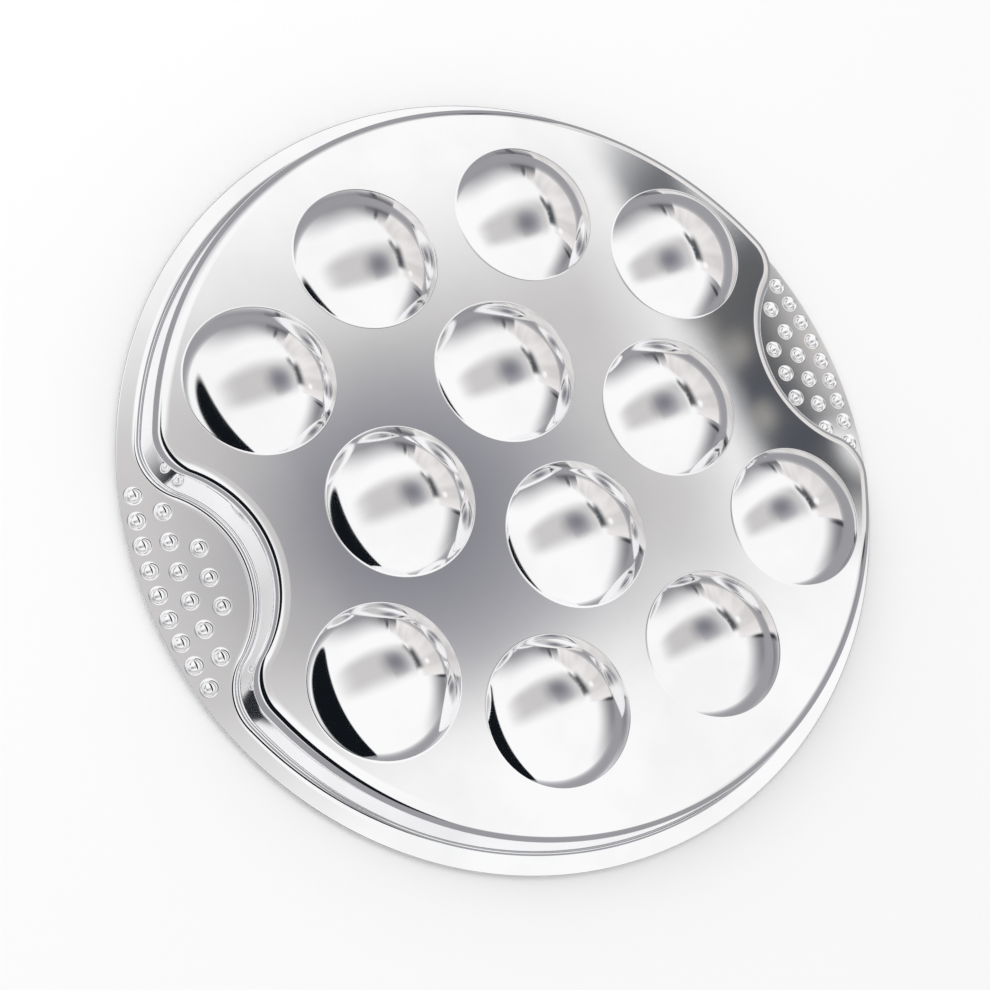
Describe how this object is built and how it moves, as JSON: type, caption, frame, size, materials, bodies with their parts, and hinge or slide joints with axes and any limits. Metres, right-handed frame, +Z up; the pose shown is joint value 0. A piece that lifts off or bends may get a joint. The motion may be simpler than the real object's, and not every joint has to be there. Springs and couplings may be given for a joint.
{
  "type": "escargot plate",
  "caption": "Round pressed steel snail plate, lying face down: dish with rounded hollows, flat rim and a dotted grip pad in a bay at each side.",
  "frame": {"origin": "on the table plane, below the middle of the plate as it lies face down", "axes": "+Z up, from the food side to the underside of the plate; +X along the line through the two grip pads; +Y across it"},
  "size_m": [0.22, 0.22, 0.0251],
  "materials": {
    "steel": "mirror polished stainless steel"
  },
  "bodies": {
    "root": {"plate": "steel"}
  },
  "joints": []
}
